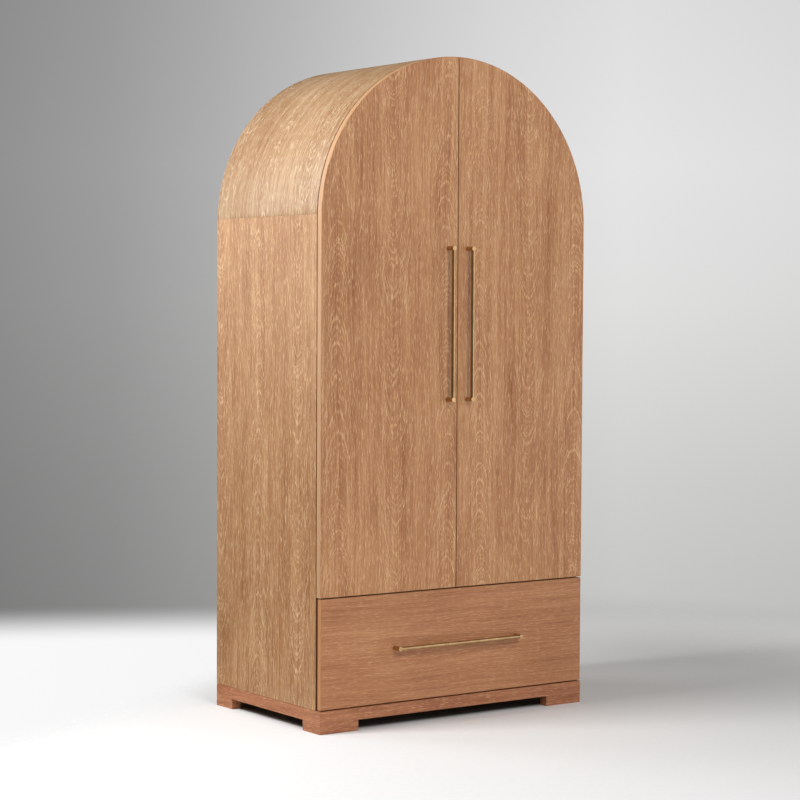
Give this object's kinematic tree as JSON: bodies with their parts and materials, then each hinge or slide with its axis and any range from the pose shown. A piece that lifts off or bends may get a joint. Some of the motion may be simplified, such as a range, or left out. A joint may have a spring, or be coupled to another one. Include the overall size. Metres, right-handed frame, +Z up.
{
  "type": "armoire",
  "caption": "Arched-top wardrobe cabinet with a pair of full-height hinged doors over one wide drawer, on a bracket-foot plinth, with slim bar pulls.",
  "frame": {"origin": "on the floor under the middle of the overall bounding box, pulls included", "axes": "+Z up, +X to the right seen from the front, doors and drawer face -Y"},
  "size_m": [1.016, 0.6442, 2.066],
  "materials": {
    "oak_veneer": "matt, cerused",
    "solid_oak": "matt",
    "box_birch": "satin",
    "back_ply": "matt",
    "brass": "brushed, aged",
    "steel": "nickel plated",
    "felt": "felt"
  },
  "bodies": {
    "carcass": {"plinth_front_rail": "solid_oak", "plinth_right_rail": "solid_oak", "plinth_left_rail": "solid_oak", "plinth_back_rail": "solid_oak", "plinth_corner_blocks": "solid_oak", "base_panel": "oak_veneer", "right_side_panel": "oak_veneer", "left_side_panel": "oak_veneer", "divider_panel": "oak_veneer", "top_shelf": "oak_veneer", "arch_top": "oak_veneer", "back_panel": "back_ply", "shelf_pins": "steel", "hanging_rail": "brass", "rail_sockets": "brass", "right_hinge_plates": "steel", "left_hinge_plates": "steel", "right_hinge_arms": "steel", "left_hinge_arms": "steel", "right_hinge_plate_screws": "steel", "left_hinge_plate_screws": "steel", "runner_cabinet_members": "steel", "back_panel_screws": "steel"},
    "right_door": {"right_door_panel": "oak_veneer", "right_hinge_cups": "steel", "right_cup_screws": "steel", "right_pull_bar": "brass", "right_pull_posts": "brass", "right_pull_screws": "steel", "right_door_bumpers": "felt"},
    "left_door": {"left_door_panel": "oak_veneer", "left_hinge_cups": "steel", "left_cup_screws": "steel", "left_pull_bar": "brass", "left_pull_posts": "brass", "left_pull_screws": "steel", "left_door_bumpers": "felt"},
    "right_links": {"right_hinge_links": "steel"},
    "left_links": {"left_hinge_links": "steel"},
    "drawer": {"drawer_front": "oak_veneer", "drawer_pull_bar": "brass", "drawer_pull_posts": "brass", "drawer_pull_screws": "steel", "drawer_front_screws": "steel", "drawer_right_side": "box_birch", "drawer_left_side": "box_birch", "drawer_box_front": "box_birch", "drawer_box_back": "box_birch", "drawer_bottom": "box_birch", "runner_drawer_members": "steel"},
    "runner_middles": {"runner_middle_members": "steel"}
  },
  "joints": [
    {"name": "right_door_hinge", "type": "hinge", "parent": "carcass", "child": "right_door", "pos_m": [0.505, -0.27758, 0.9], "axis": [0, 0, 1], "range_deg": [0, 100]},
    {"name": "left_door_hinge", "type": "hinge", "parent": "carcass", "child": "left_door", "pos_m": [-0.505, -0.27758, 0.9], "axis": [0, 0, -1], "range_deg": [0, 100]},
    {"name": "right_link_pivot", "type": "hinge", "parent": "carcass", "child": "right_links", "pos_m": [0.491, -0.27218, 0.9], "axis": [0, 0, 1], "range_deg": [-50, 3]},
    {"name": "left_link_pivot", "type": "hinge", "parent": "carcass", "child": "left_links", "pos_m": [-0.491, -0.27218, 0.9], "axis": [0, 0, -1], "range_deg": [-50, 3]},
    {"name": "drawer_slide", "type": "slide", "parent": "carcass", "child": "drawer", "axis": [0, -1, 0], "range_m": [0, 0.4]},
    {"name": "runner_middle_slide", "type": "slide", "parent": "carcass", "child": "runner_middles", "axis": [0, -1, 0], "range_m": [0, 0.2]}
  ],
  "couplings": [
    {"joint": "right_link_pivot", "follows": "right_door_hinge", "ratio": -0.451},
    {"joint": "left_link_pivot", "follows": "left_door_hinge", "ratio": -0.451},
    {"joint": "runner_middle_slide", "follows": "drawer_slide", "ratio": 0.5}
  ]
}
